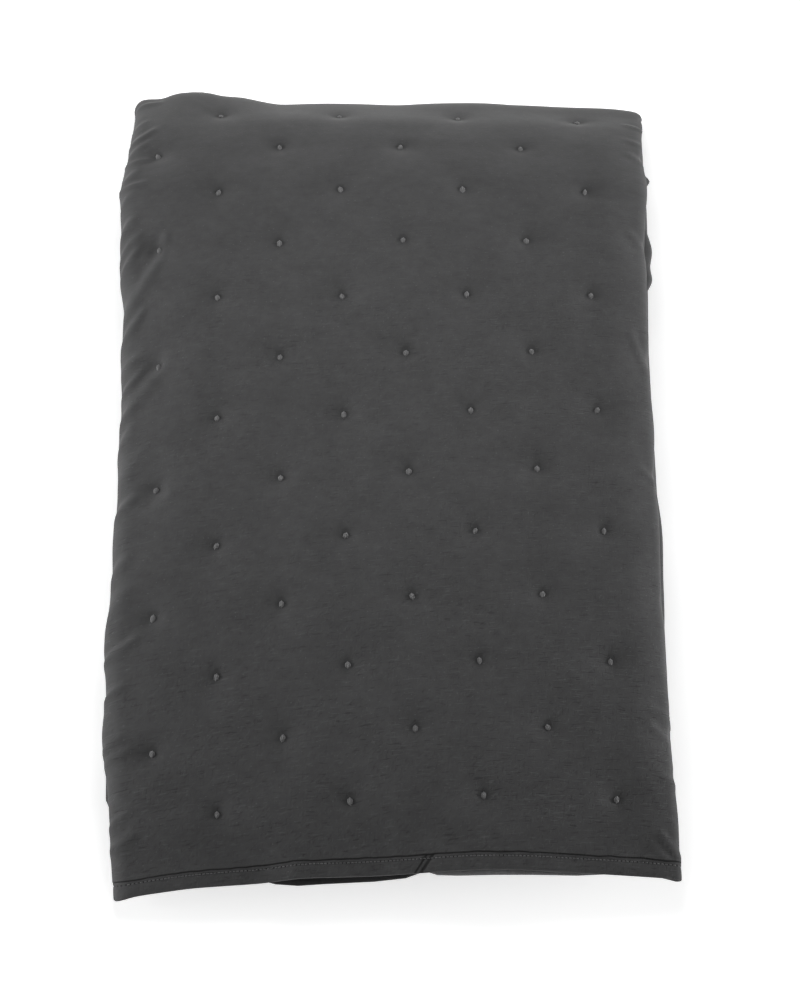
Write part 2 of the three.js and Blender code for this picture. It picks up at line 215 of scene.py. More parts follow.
def way_at(s):
    """Middle of the strip at s: straight runs and half turns, with the direction of its first ply."""
    stretch = np.clip(np.floor(s), 0, STRETCHES - 1).astype(int)
    t = s - stretch
    sin, cos, one, none = np.sin(np.pi * t), np.cos(np.pi * t), np.ones_like(t), np.zeros_like(t)

    def mix(a, b):
        return a + (b - a) * t

    return {
        "s": s,
        "y": np.choose(stretch, [
            mix(0, FAR_FOLD_Y), FAR_FOLD_Y + FAR_TURN * FAR_UNIT * sin, mix(FAR_FOLD_Y, NEAR_FOLD_Y),
            NEAR_FOLD_Y - NEAR_TURN * FOLD_REACH * sin, mix(NEAR_FOLD_Y, INNER_FOLD_Y),
            INNER_FOLD_Y + NEAR_TURN * FOLD_REACH * sin, mix(INNER_FOLD_Y, INNER_HEM_Y)]),
        "level": np.choose(stretch, [
            TOP * one, MIDDLE + FAR_TURN * cos, BOTTOM * one, BOTTOM + NEAR_TURN - NEAR_TURN * cos,
            THIRD * one, MIDDLE - NEAR_TURN * cos, SECOND * one]),
        "dy": np.choose(stretch, [
            none, FAR_UNIT * sin, none, -FOLD_REACH * sin, none, -FOLD_REACH * sin, none]),
        "dl": np.choose(stretch, [one, cos, -one, -cos, one, cos, -one]),
        "shift": np.choose(stretch, [
            SHIFT_TOP * one, mix(SHIFT_TOP, SHIFT_BOTTOM), SHIFT_BOTTOM * one,
            mix(SHIFT_BOTTOM, SHIFT_THIRD), SHIFT_THIRD * one, mix(SHIFT_THIRD, SHIFT_SECOND),
            SHIFT_SECOND * one]),
    }


walk_s = np.linspace(0, STRETCHES, 400 * STRETCHES + 1)
walk_way = way_at(walk_s)
walk_out = 1.5 + HALF_FILL  # from the strip's middle to its outer face
walk_line = place(0.0, walk_way["y"] + walk_out * walk_way["dy"],
                  walk_way["level"] + walk_out * walk_way["dl"], 0.0, 0.0)
walked = np.append(0, np.cumsum(np.linalg.norm(np.diff(walk_line, axis=0), axis=1)))
CLOTH_LENGTH = walked[-1]


def station(along):
    """The parameter of the way at a distance along the first ply, read off the measured walk."""
    return np.interp(along, walked, walk_s)


def distance(s):
    """The distance along the first ply at a parameter of the way."""
    return np.interp(s, walk_s, walked)


FAR_FOLD_END = distance(2.0)
print("the cloth is", round(CLOTH_LENGTH), "mm long")

# %% [markdown]
# ## Across the strip
# The strip has four plies. In section it runs from a hidden edge out to the right, round a small fold,
# over the top to the left, round a broad fold and back below the same way. Every place of this section
# keeps the direction out of the face, so that thickness, puffs and buckles can be added to it. At the
# front the hems of the lower plies lie further back, and a table says how far.

# %% Hems of the lower plies
LOWER_HEMS = table(("x", "second", "third", "fourth"), [
    (-210, 9, 11, 8),
    (-195, 8, 11, 9.5),
    (-172, 7.5, 10.5, 9.2),
    (-112, 6, 9, 8),
    (-98, 5, 8, 3),
    (-80, 5, 8, -0.5),
    (-60, 5, 8, 0),
    (-20, 5, 8, 0.7),
    (5, 5, 8, 1.8),
    (17, 4, 9, 5),
    (30, -1, 9, 9),
    (45, -2.8, 10, 9.5),
    (75, -3.3, 11, 10),
    (105, -2.2, 11, 10),
    (140, -0.5, 11, 10),
    (170, 2.5, 11, 10),
    (198, 2.8, 10, 9.5),
    (207, 1.5, 9.5, 9.2),
    (RIGHT_FOLD_X, 0, 9, 9),
])
# Each lower ply has places only at the rows of the table where its own hem bends.
SECOND_PLACES = LOWER_HEMS["x"][[1, 2, 3, 5, 7, 9, 10, 11, 12, 13, 14, 15, 16, 17, 18]]
THIRD_PLACES = LOWER_HEMS["x"][[1, 2, 3, 5, 9, 13, 15, 16, 17, 18]]
FOURTH_PLACES = LOWER_HEMS["x"][[1, 2, 3, 4, 5, 6, 7, 8, 9, 10, 13, 15, 16, 17, 18]]
FOURTH_PLACES = np.append(LEFT_FOLD_X, FOURTH_PLACES)


def drawn_back(ply, x):
    """How far a lower ply's hem lies back at x: the curve through its column of the table."""
    return curve(LOWER_HEMS["x"], LOWER_HEMS[ply], x)


print("the lower hems lie up to", LOWER_HEMS["third"].max(), "mm further back")

# %% The strip's section
FIELDS = ("x", "ply", "nx", "out", "drawn", "loose", "across")
LEFT_DRIFT = 4.0  # how far the knots beside the left fold lie nearer to the middle
DRIFT_START, DRIFT_SPAN = -150.0, 40.0  # across the cloth, towards the left
LOOSE_TURN = 1.5  # rise round a turn, in its radii, that takes the cloth from held to loose


def flat_ply(x, ply, out, drawn, loose=0.0):
    """A flat ply at the given places: one level and one direction out of the face."""
    return np.stack(np.broadcast_arrays(x, float(ply), 0.0, float(out), drawn, loose))


def turned_ply(middle, ply, radius, side, steps, start, drawn, loose=0.0):
    """A half turn round a middle, without its two ends; drawn from one value to another.

    It is loose above and held at its lower end."""
    angle = np.pi * np.arange(1, steps) / steps
    nx, out = side * np.sin(angle), start * np.cos(angle)
    back = drawn[0] + (drawn[1] - drawn[0]) * smooth(angle / np.pi)
    loose = loose * smooth((out + 1) / LOOSE_TURN)
    return np.stack(np.broadcast_arrays(
        middle + radius * FOLD_REACH * nx, ply + radius * out, nx, out, back, loose))


def section_over(first_ply, spine_steps, fold_steps):
    """The whole section, with the given places on the first ply: flat plies and turns in a row.

    The distance across adds up the steps between places, less a drift beside the left fold."""
    third = THIRD_PLACES[::-1]
    bottom_left, right = drawn_back("fourth", LEFT_FOLD_X), drawn_back("third", RIGHT_FOLD_X)
    parts = [
        flat_ply(SECOND_PLACES, 0.5, -1, drawn_back("second", SECOND_PLACES)),
        turned_ply(RIGHT_FOLD_X, 1, 0.5, 1, fold_steps, -1, (0, 0), 1.0),
        flat_ply(first_ply, 1.5, 1, 0.0, 1.0),
        turned_ply(LEFT_FOLD_X, 0, 1.5, -1, spine_steps, 1, (0, bottom_left), 1.0),
        flat_ply(FOURTH_PLACES, -1.5, -1, drawn_back("fourth", FOURTH_PLACES)),
        turned_ply(RIGHT_FOLD_X, -1, 0.5, 1, fold_steps, -1, (right, right)),
        flat_ply(third, -0.5, 1, drawn_back("third", third)),
    ]
    rows = np.concatenate(parts, axis=1)
    steps = np.hypot(np.diff(rows[0]), FOLD_REACH * np.diff(rows[1]))
    measured = np.append(0, np.cumsum(steps))
    first = parts[0].shape[1] + parts[1].shape[1]
    across = RIGHT_FOLD_X + measured[first] - measured
    across = across - LEFT_DRIFT * smooth((DRIFT_START - across) / DRIFT_SPAN)
    return dict(zip(FIELDS, [*rows, across]))


print("each place of the section holds", FIELDS)

# %% [markdown]
# ## Places across the cloth
# An even grid would spend its places where the cloth is plain. These places crowd at each column of
# knots, where the face dips, and at both sides, where it rounds over and buckles.

# %% Places of the section
KNOT_STEP_ACROSS, KNOT_STEP_ALONG = 105.0, 110.0
KNOT_COLUMN, FIRST_ROW = 15.0, 60.0  # across of a column in the odd rows, along of the first row
ROW_STEP, COLUMN_STEP = KNOT_STEP_ALONG / 2, KNOT_STEP_ACROSS / 2
CLOSE_TO_KNOT = np.array([-0.5, -0.34, -0.2, -0.08, 0, 0.08, 0.2, 0.34])  # in steps from a column
LEFT_RIM, LEFT_INSIDE, LEFT_STEP = -207.5, -176, 2.1  # close places where the left side buckles
RIGHT_INSIDE, RIGHT_COUNT = 193.5, 9  # and as far in as the right side rounds over

left_places = np.arange(LEFT_RIM, LEFT_INSIDE, LEFT_STEP)
right_places = np.linspace(RIGHT_FOLD_X, RIGHT_INSIDE, RIGHT_COUNT)
knot_columns = KNOT_COLUMN + COLUMN_STEP * np.arange(-4, 5)
middle_places = (knot_columns[:, None] + COLUMN_STEP * CLOSE_TO_KNOT).ravel()
inside = (middle_places > left_places[-1] + 1) & (middle_places < right_places[-1] - 1)
middle_places = middle_places[inside]
first_ply = np.concatenate([right_places, middle_places[::-1], left_places[::-1], [LEFT_FOLD_X]])
section = section_over(first_ply, spine_steps=19, fold_steps=6)
CLOTH_WIDTH = section["across"][0] - section["across"][-1]


def section_at(across):
    """The section's fields at distances across the cloth, between its places."""
    order = section["across"][::-1]
    return {name: np.interp(across, order, section[name][::-1]) for name in FIELDS}


print("section of", len(section["x"]), "places; the cloth is", round(CLOTH_WIDTH), "mm wide")

# %% [markdown]
# ## Puffs and dips
# Knots pull the two faces together, so the cloth swells between them and dips to each knot. Bump in the
# material could show this, but then the edge of the stack would stay smooth, so the swell is real: a
# puff all over, less a bell at each place of a staggered lattice. Three knots were tied a little astray.

# %% Relief at the knots
PUFF = 2.1  # how far the face swells out between the knots
DIPS = [(2.3, 8.2), (2.1, 22.0)]  # depth and radius: a narrow dip at each knot in a broad one
SWELLS = [(0.35, 31, 73, 0), (0.4, 67, -41, 2), (0.2, 17, 23, 4)]  # height, lengths across, along, phase
STRAY_RADIUS = 30.0
# Stray knots: across and along of where each lies, and how far that is from its place in the lattice.
STRAYS = [(-142.5, 392.7, 0.0, 2.7), (-142.5, 504.0, 0.0, 4.0), (-198.7, 658.0, -3.7, -7.0)]


def lattice(across, along):
    """Cloth coordinates with the stray knots put back in their places: a bell of shift round each."""
    for a, b, da, db in STRAYS:
        near = np.exp(-((across - a) ** 2 + (along - b) ** 2) / STRAY_RADIUS**2)
        across, along = across - da * near, along - db * near
    return across, along


def dips(across, along):
    """How far the nearest knots pull the face in: the dips' bells at each."""
    across, along = lattice(across, along)
    row = np.round((along - FIRST_ROW) / ROW_STEP)
    pull = 0.0
    for near in (row - 1, row, row + 1):
        offset = KNOT_COLUMN + np.where(near % 2 == 0, COLUMN_STEP, 0)
        column = np.round((across - offset) / KNOT_STEP_ACROSS) * KNOT_STEP_ACROSS + offset
        away = np.hypot(across - column, along - FIRST_ROW - near * ROW_STEP)
        bell = sum(depth * np.exp(-((away / radius) ** 2)) for depth, radius in DIPS)
        pull = pull + np.where(near >= 0, bell, 0)
    return pull


def uneven(across, along):
    """Slow swell of the wadding: the sum of crossed sine waves."""
    return sum(height * np.sin(across / a + along / b + phase) for height, a, b, phase in SWELLS)


print("relief", PUFF, "mm up,", round(PUFF - sum(depth for depth, _ in DIPS), 2), "mm at a knot")

# %% [markdown]
# ## Buckles
# At the broad left fold the cloth has more length than room and buckles into slanting ridges, each with
# a trough on its far side. A few more lie at the right folds. Noise would spread them evenly, so each one
# is placed one by one on the flat cloth.

# %% Buckles at the rims
BUCKLE_RISE, BUCKLE_FADE = 0.22, 0.55  # shares of a buckle's length at its inner and its outer end
TROUGH_DEPTH, TROUGH_SHIFT = 0.45, 1.6  # in the buckle's heights and half-widths
# Buckles: across and along of the inner end, across and along of the outer end, half-width, height.
BUCKLES = [
    (-196, 745, -232, 740, 3.4, 1.8),
    (-207, 716, -236, 690, 2.8, 0.9),
    (-199, 702, -238, 664, 3.2, 1.6),
    (-203, 684, -236, 652, 2.8, 0.9),
    (-214, 673, -236, 636, 2.8, 1.2),
    (-200, 656, -238, 653, 2.8, 1.1),
    (-211, 646, -238, 606, 3.0, 1.3),
    (-203, 626, -240, 620, 3.0, 1.7),
    (-213, 621, -236, 580, 2.8, 1.1),
    (-210, 596, -238, 549, 3.4, 1.8),
    (-206, 578, -238, 535, 3.0, 1.4),
    (-207, 569, -236, 508, 2.8, 1.8),
    (-189, 555, -238, 466, 5.0, 1.8),
    (-188, 576, -195, 536, 4.0, 1.3),
    (-204, 505, -238, 444, 3.4, 2.0),
    (-203, 464, -238, 435, 3.8, 1.1),
    (-204, 449, -238, 405, 3.0, 1.6),
    (-178, 460, -240, 381, 5.4, 1.4),
    (-211, 417, -238, 379, 2.8, 1.4),
    (-211, 400, -236, 355, 2.8, 1.2),
    (-198, 377, -240, 327, 5.6, 1.0),
    (-206, 337, -240, 300, 4.0, 1.9),
    (-176, 337, -206, 303, 6.0, 0.6),
    (-209, 287, -240, 240, 4.0, 1.6),
    (-207, 262, -238, 205, 5.0, 1.1),
    (-201, 214, -240, 182, 3.4, 1.9),
    (-209, 175, -240, 152, 3.4, 1.8),
    (-210, 134, -240, 115, 3.4, 1.2),
    (-205, 124, -240, 105, 3.6, 1.4),
    (-207, 74, -240, 51, 2.8, 1.4),
    (-203, 54, -240, 33, 5.2, 2.0),
    (-140, 56, -212, 60, 6.0, 0.8),
    (206, 718, 232, 709, 3.0, 1.7),
    (207, 690, 230, 676, 3.0, 1.0),
    (207, 670, 230, 640, 3.0, 1.2),
    (205, 573, 230, 531, 3.2, 1.3),
    (201, 474, 228, 397, 3.4, 1.3),
    (203, 340, 232, 318, 3.2, 1.4),
    (199, 136, 232, 124, 3.4, 1.3),
    (199, 121, 230, 102, 3.6, 1.5),
    (205, 83, 232, 70, 3.2, 1.4),
    (203, 38, 228, 6, 3.0, 2.4),
    (196, 29, 216, 8, 2.8, 1.7),
]


def buckled(across, along):
    """Sum over the buckles: a bell along the line and, on its far side, a shallower one downwards."""
    total = 0.0
    for a0, b0, a1, b1, width, height in BUCKLES:
        da, db = a1 - a0, b1 - b0
        length = np.hypot(da, db)
        t = ((across - a0) * da + (along - b0) * db) / length**2
        u = np.sign(da) * (da * (along - b0) - db * (across - a0)) / (length * width)
        shown = smooth(t / BUCKLE_RISE) * smooth((1 - t) / BUCKLE_FADE)
        ridge, trough = np.exp(-(u**2)), np.exp(-((u - TROUGH_SHIFT) ** 2))
        total = total + height * shown * (ridge - TROUGH_DEPTH * trough)
    return total


print(len(BUCKLES), "buckles")

# %% [markdown]
# ## Both faces of the cloth
# The cloth is thin inside its binding, rises to a lip beside the seam and is at full thickness a little
# further on. Both faces lie half the thickness from the middle of their ply, which keeps neighbouring
# plies apart, and only the outer face carries the relief.

# %% Outer face and lining
HEM_LIP, HEM_LIP_HEIGHT, HEM_SLOPE = 1.3, 1.6, 34.0  # the rise of the cloth beside its binding
SEAM_GAP = 0.3  # between the binding's edge and that rise
LOWER_FOLD_BULGES = [(643, 6, 3), (562, 20, 5), (530, 12, 5), (262, 54, 3)]  # along, half-width, height
BULGE_START, BULGE_SPAN = 150.0, 50.0  # from left to right, where these bulges grow
RELIEF_FADE = 3.6  # twice the place of the way at which the relief has died away
RIM_CALM = 0.65  # share of a buckle's height that is lost where the fold turns down
RIPPLE_HEIGHT, RIPPLE_LENGTH, RIPPLE_TURN = 0.7, 13.0, 3.0  # ripples of the turned edges


def cloth(way, across, out):
    """A place of the section at a place of the way, moved out of the face by a distance.

    The distance is counted in plies, and the lower right fold of the top strip bulges."""
    unit = np.hypot(way["dy"], way["dl"] * ply_pitch(across["x"], way["y"]))
    ply = across["ply"] + out / unit * across["out"]
    on_top = way["level"] == TOP
    bulge = bells(LOWER_FOLD_BULGES, distance(way["s"]))
    bulge = bulge * smooth((across["x"] - BULGE_START) / BULGE_SPAN)
    x = across["x"] + np.where(on_top & (across["ply"] < 0), bulge, 0) + out * across["nx"]
    return place(x, way["y"] + ply * way["dy"], way["level"] + ply * way["dl"], way["shift"],
                 np.where(on_top, across["drawn"], 0))


def from_binding(way):
    """Distance along the cloth from the nearer binding's seam."""
    along = distance(way["s"])
    return np.minimum(along, CLOTH_LENGTH - along) - BINDING_WIDTH - SEAM_GAP


def half_thickness(way, across):
    """Half of the ply: pressed in the binding, then a quarter circle up to a lip beside it.

    From there a slow slope leads to the full ply."""
    full = HALF_FILL * ply_pitch(across["x"], way["y"])
    lip = np.clip(from_binding(way) / HEM_LIP, 0, 1)
    lip = (HEM_LIP_HEIGHT - HEM_HALF) * np.sqrt(lip * (2 - lip))
    return HEM_HALF + lip + (full - HEM_LIP_HEIGHT) * smooth(from_binding(way) / HEM_SLOPE)


def face(way, across):
    """The outer face: half the thickness plus the relief where the cloth lies free.

    Buckles grow calmer where a fold turns down, and the turned edges ripple."""
    along, side = distance(way["s"]), across["nx"] ** 2
    settled = smooth(from_binding(way) / HEM_SLOPE)
    free = across["loose"] * smooth(RELIEF_FADE - 2 * way["s"])
    relief = (PUFF * (1 - side) - dips(across["across"], along)) * settled
    relief = relief + buckled(across["across"], along) * (1 - RIM_CALM * side**2)
    ripple = RIPPLE_HEIGHT * side * np.sin(along / RIPPLE_LENGTH + RIPPLE_TURN * way["level"])
    ripple = uneven(across["across"], along) + ripple
    return cloth(way, across, half_thickness(way, across) + relief * free
                 + ripple * settled * np.maximum(free, side))


def lining(way, across):
    """The inner face: half the thickness the other way."""
    return cloth(way, across, -half_thickness(way, across))


full_ply = half_thickness(way_at(np.array([0.5])), section_at(np.zeros(1)))[0] * 2
print("a ply of the top strip is", round(full_ply, 1), "mm thick")

# %% [markdown]
# ## Meshes from grids
# Each surface is a grid of places, and its faces are the grid's cells. One helper turns the grid into
# a mesh object and keeps the flat cloth's own coordinates as a UV map, so that the weave
# follows the cloth round every fold.

# %% Grids to objects


def ring_walls(rows, columns):
    """The numbers of a grid's places, and the cells between its rows, closed into a ring."""
    index = np.arange(rows * columns).reshape(rows, columns)
    beside = np.roll(index, -1, axis=1)
    return index, np.stack([index[:-1], beside[:-1], beside[1:], index[1:]], -1).reshape(-1, 4)


def ring_cells(rows, columns):
    """Four-cornered cells of a grid whose columns close into a ring, with both ends closed."""
    index, walls = ring_walls(rows, columns)
    half = columns // 2
    there, home = index[:, :half], index[:, ::-1][:, :half]
    caps = np.stack([there[:, :-1], home[:, :-1], home[:, 1:], there[:, 1:]], -1)
    return np.concatenate([walls, caps[0], caps[-1][:, ::-1]])


def outwards(points, cells):
    """The cells turned so that the mesh holds a positive volume."""
    a, b, c, d = (points[cells[:, k]] for k in range(4))
    volume = np.einsum("ij,ij->", np.cross(a, b), c) + np.einsum("ij,ij->", np.cross(a, c), d)
    return cells if volume > 0 else cells[:, ::-1]


def in_scene(name, data):
    """A new object in the scene."""
    made = bpy.data.objects.new(name, data)
    bpy.context.scene.collection.objects.link(made)
    return made


def piece(name, points, cells, flat):
    """A smooth mesh object from places in millimetres; flat holds each place's cloth coordinates."""
    mesh = bpy.data.meshes.new(name)
    cells = outwards(points, cells)
    mesh.from_pydata(((points + ORIGIN) * MM).tolist(), [], cells.tolist())
    mesh.shade_smooth()
    uv = mesh.uv_layers.new(name="cloth")
    uv.data.foreach_set("uv", (flat[cells.ravel()] * MM).ravel().astype(np.float32))
    made = in_scene(name, mesh)
    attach(made, "root")
    print(name, len(points), "places,", 2 * len(cells), "triangles")
    return made


print("a ring of 3 x 4 places gives", len(ring_cells(3, 4)), "cells")

# %% [markdown]
# ## The quilt
# This is the bed cover itself. A thin sheet could get its thickness from a modifier, but in the tight
# folds such a wall runs into itself. So one closed skin is carried over face and back of the whole folded
# cloth. Its stations are close together along the top, closest at the hem, and wide where it is hidden.

# %% The folded quilt
TURNS_UNDER = 1.6  # place of the way from which the far fold faces the floor
NOSE_STEP, NOSE_GAP = 9, 6  # from there to the floor
RUN_STEPS, FOLD_STEPS = 8, 6  # on each hidden run and fold
LAST_RUN = 0.92  # share of the last run before its hem
seam_steps = np.array([0, 0.2, 0.5, 0.9, 1.4, 2.4, 4.2, 7, 11, 15.5])  # closest beside the seam
hem_places = np.append([0.7, 7], BINDING_WIDTH + SEAM_GAP + seam_steps)
top_places = np.arange(FIRST_ROW - ROW_STEP / 2, distance(TURNS_UNDER), ROW_STEP / 20)
nose_places = np.arange(distance(TURNS_UNDER), FAR_FOLD_END - NOSE_GAP, NOSE_STEP)
run, fold = np.arange(RUN_STEPS) / RUN_STEPS, np.arange(FOLD_STEPS) / FOLD_STEPS
from_last_hem = np.append(BINDING_WIDTH + SEAM_GAP + seam_steps[::-2], [BINDING_WIDTH, 0])
last_hem = 1 - from_last_hem / (INNER_FOLD_Y - INNER_HEM_Y)
stations = np.concatenate([
    station(np.concatenate([hem_places, top_places, nose_places])), 2 + run, 3 + fold, 4 + run, 5 + fold,
    6 + LAST_RUN * run, 6 + last_hem])
way = {name: values[:, None] for name, values in way_at(stations).items()}
rings = np.concatenate([face(way, section), lining(way, section)[:, ::-1]], axis=1)
flat_across = np.append(section["across"], section["across"][::-1])
flat = together(*lattice(flat_across, distance(stations)[:, None]))
quilt = piece("quilt_cloth", rings.reshape(-1, 3), ring_cells(*rings.shape[:2]), flat.reshape(-1, 2))
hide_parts("quilt")

# %% [markdown]
# ## The binding
# A strip of cotton is folded over the hem and sewn through. A thicker edge of the quilt could stand for
# it, but a strip of its own has a seam and a fold. Its section is a flat U with a shallow groove under the
# top-stitching, carried across all four plies. Where the strip's two ends meet, a slanted join crosses it.

# %% The bound hems
STITCH_LINE = 9.9  # distance of the top-stitching from the hem
# The strip's section from the seam to its fold: distance from the hem, height over the cloth's middle.
BINDING_PROFILE = np.array([
    (13.0, 0.4), (12.9, 1.1), (12.6, 1.4), (12.0, 1.5), (10.6, 1.4), (9.9, 1.05), (9.2, 1.35),
    (7.5, 1.5), (5.0, 1.5), (2.5, 1.45), (0.9, 1.3), (0.15, 0.95), (-0.15, 0.4)])
INNER_WALL, INNER_SHIFT = (0.98, 0.58), (0.15, 0)  # the inner wall, in shares of the outer one
WALL_MIDDLE = 1.0  # a height between the two walls
# The two lines of the slanted join: place at mid-width, half-width and depth.
JOINS = [(22.0, 1.7, 0.9), (17.3, 1.1, 0.7)]
JOIN_SLANT = 0.75  # across, for each millimetre along


def pucker(across, d):
    """Small waves of the strip: two crossed sines."""
    return 0.1 * np.sin(across / 2.3) + 0.2 * np.sin(across / 9.7 + d / 4)


def binding(name, s, hem_y, places):
    """The U profile and its inner wall as a ring, at every place of the section.

    The outer wall carries the small waves and the grooves of the join."""
    outer = np.concatenate([BINDING_PROFILE, BINDING_PROFILE[::-1] * (1, -1)])
    inner = outer * INNER_WALL + INNER_SHIFT
    d, out = np.concatenate([outer, inner[::-1]]).T[:, :, None]
    hem = {key: np.full_like(d, value[0]) for key, value in way_at(np.array([s])).items()}
    hem["y"] = hem_y + d
    across = places["across"]
    grooves = bells(JOINS, across - JOIN_SLANT * (d - BINDING_WIDTH / 2))
    relief = pucker(across, d) - grooves
    rings = cloth(hem, places, out + np.where(np.abs(out) > WALL_MIDDLE, np.sign(out) * relief, 0))
    rings = rings.transpose(1, 0, 2)
    flat = together(across, d).transpose(1, 0, 2)
    made = piece(name, rings.reshape(-1, 3), ring_cells(*rings.shape[:2]), flat.reshape(-1, 2))
    return made


join_places = np.arange(38, 3, -0.6)  # close together at the slanted join
hem_columns = np.concatenate([
    np.linspace(RIGHT_FOLD_X, join_places[0] + 2, 60), join_places,
    np.linspace(join_places[-1] - 2, LEFT_FOLD_X, 74)])
binding_front = binding("hem_binding", 0.0, 0.0, section_over(hem_columns, spine_steps=12, fold_steps=8))
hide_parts("binding_front")
inner_section = section_over(first_ply[::3], spine_steps=9, fold_steps=6)
binding_inner = binding("inner_hem_binding", float(STRETCHES), INNER_HEM_Y, inner_section)
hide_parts("binding_inner")

# %% [markdown]
# ## The knots
# Each tie shows as a small tuft: a few strands of grey thread drawn tight side by side. A dome would
# do from far away, but strands catch the light as thread does. One tuft is worked out as three arched
# tubes, and all tufts are made from it at once, each turned and stretched a little differently.

# %% Tubes of thread
chance = np.random.default_rng(7)  # the same draws on every run
TUBE_SIDES = 6


def unit(vectors):
    """Vectors at length one."""
    return vectors / np.linalg.norm(vectors, axis=-1, keepdims=True)


def tubes(paths, radius):
    """Tubes round paths (tube, step, 3) that run along y: a ring in x and z at every step."""
    angle = 2 * np.pi * np.arange(TUBE_SIDES) / TUBE_SIDES
    circle = np.stack([np.cos(angle), np.zeros(TUBE_SIDES), np.sin(angle)], -1)
    return paths[:, :, None] + circle * radius[..., None, None]


def tube_cells(count, steps):
    """Cells of many six-sided tubes at once, each end closed by two cells."""
    index, walls = ring_walls(steps, TUBE_SIDES)
    halves = np.array([(0, 5, 4, 1), (1, 4, 3, 2)])
    one = np.concatenate([walls, index[0][halves], index[-1][halves][:, ::-1]])
    return (one + steps * TUBE_SIDES * np.arange(count)[:, None, None]).reshape(-1, 4)


def set_on(points, axes, shape):
    """Copies of a shape: its x, y and z laid along each point's own three axes."""
    return (points[:, None] + np.einsum("vk,nkc->nvc", shape, axes)).reshape(-1, 3)


print("a tube of 5 rings gives", len(tube_cells(1, 5)), "cells")

# %% Places of the knots
ROWS, COLUMNS = 15, 5
KNOTS_RIGHT_END, KNOTS_FAR_END = 226.0, 1.62  # across the cloth and on the way; they are hidden beyond
row, column = np.meshgrid(np.arange(ROWS), np.arange(COLUMNS) - COLUMNS // 2, indexing="ij")
knot_along = (FIRST_ROW + ROW_STEP * row).ravel()
knot_across = (KNOT_COLUMN + KNOT_STEP_ACROSS * (column + np.where(row % 2 == 0, 0.5, 0))).ravel()
for a, b, da, db in STRAYS:
    stray = np.hypot(knot_across - a + da, knot_along - b + db) < 1
    knot_across, knot_along = knot_across + da * stray, knot_along + db * stray
shown = (knot_across < KNOTS_RIGHT_END) & (station(knot_along) < KNOTS_FAR_END)
knot_along, knot_across = knot_along[shown], knot_across[shown]
print(len(knot_along), "knots show")

# %% The thread knots
TUFT_STEPS = 8
TUFT_HALF_LENGTH, TUFT_RISE, TUFT_SINK, STRAND_RADIUS = 3.2, 1.2, 0.2, 0.85
TURN_SPREAD, STRETCH_SPREAD = 0.22, 0.08  # how much the tufts differ
strand = np.array([[-1.2], [0.0], [1.2]])  # place of each strand, sideways
t = np.linspace(-1, 1, TUFT_STEPS)
# The outer strands are shorter and lower, and all of them draw together and thin out at their ends.
arch = together(
    strand * (1 - 0.3 * t**2), (TUFT_HALF_LENGTH - 0.5 * np.abs(strand)) * t,
    TUFT_RISE * np.sqrt(1 - t**2) - 0.3 * np.abs(strand) - TUFT_SINK)
strand_radius = STRAND_RADIUS * (1 - 0.3 * np.abs(t) ** 3)
tuft = tubes(arch, np.broadcast_to(strand_radius, (len(strand), TUFT_STEPS))).reshape(-1, 3)

spot, at = section_at(knot_across), way_at(station(knot_along))
ahead = way_at(station(knot_along + 0.5))
point = face(at, spot)
out_way = unit(cloth(at, spot, 1.0) - cloth(at, spot, 0.0))
along_way = face(ahead, spot) - point
along_way = unit(along_way - out_way * np.sum(along_way * out_way, -1, keepdims=True))
across_way = np.cross(along_way, out_way)
turn = chance.normal(0, TURN_SPREAD, (len(point), 1))
axes = np.stack([across_way * np.cos(turn) + along_way * np.sin(turn),
                 along_way * np.cos(turn) - across_way * np.sin(turn), out_way], 1)
knot_points = set_on(point, axes * chance.normal(1, STRETCH_SPREAD, (len(point), 3, 1)), tuft)
knot_cells = tube_cells(len(strand) * len(point), TUFT_STEPS)
knots = piece("knots", knot_points, knot_cells, knot_points[:, :2])

# %% [markdown]
# ## The top-stitching
# A row of machine stitches runs along the binding a few millimetres from its seam. Dashes in the material
# would lie flat, so every stitch is a short closed tube that dives into the groove at both ends.

# %% The stitches
STITCH_PITCH, STITCH_LENGTH, STITCH_RADIUS, STITCH_STEPS = 3.0, 2.3, 0.32, 5
STITCH_RISE, STITCH_SINK, STITCH_SPREAD = 0.45, 0.15, 0.15
GROOVE_HEIGHT = 1.2  # of the stitches' groove over the cloth's middle
FIRST_STITCH = LEFT_FOLD_X - 4


def on_binding(across, out):
    """A point over the groove: its height, plus the strip's waves, plus a distance out of it."""
    hem = way_at(np.zeros_like(across))
    hem["y"] = np.full_like(across, STITCH_LINE)
    return cloth(hem, section_at(across), GROOVE_HEIGHT + pucker(across, STITCH_LINE) + out)


stitch_across = np.arange(FIRST_STITCH, RIGHT_FOLD_X + 3, STITCH_PITCH)
stitch_across = stitch_across + chance.normal(0, STITCH_SPREAD, len(stitch_across))
t = np.linspace(-1, 1, STITCH_STEPS)
path = together(0.0, t * STITCH_LENGTH / 2, STITCH_RISE * np.sqrt(1 - t**2) - STITCH_SINK)[None]
stitch = tubes(path, np.full((1, STITCH_STEPS), STITCH_RADIUS)).reshape(-1, 3)
point = on_binding(stitch_across, 0.0)
forward = unit(on_binding(stitch_across + 0.5, 0.0) - point)
out_way = unit(on_binding(stitch_across, 1.0) - point)
stitch_points = set_on(point, np.stack([np.cross(forward, out_way), forward, out_way], 1), stitch)
stitch_cells = tube_cells(len(point), STITCH_STEPS)
stitches = piece("top_stitching", stitch_points, stitch_cells, stitch_points[:, :2])

# %% [markdown]
# ## A notation for finishes
# A finish is a small formula over the surface. Wrapping a socket in a class lets that formula be
# written as ordinary arithmetic instead of node by node.

# %% Shader arithmetic


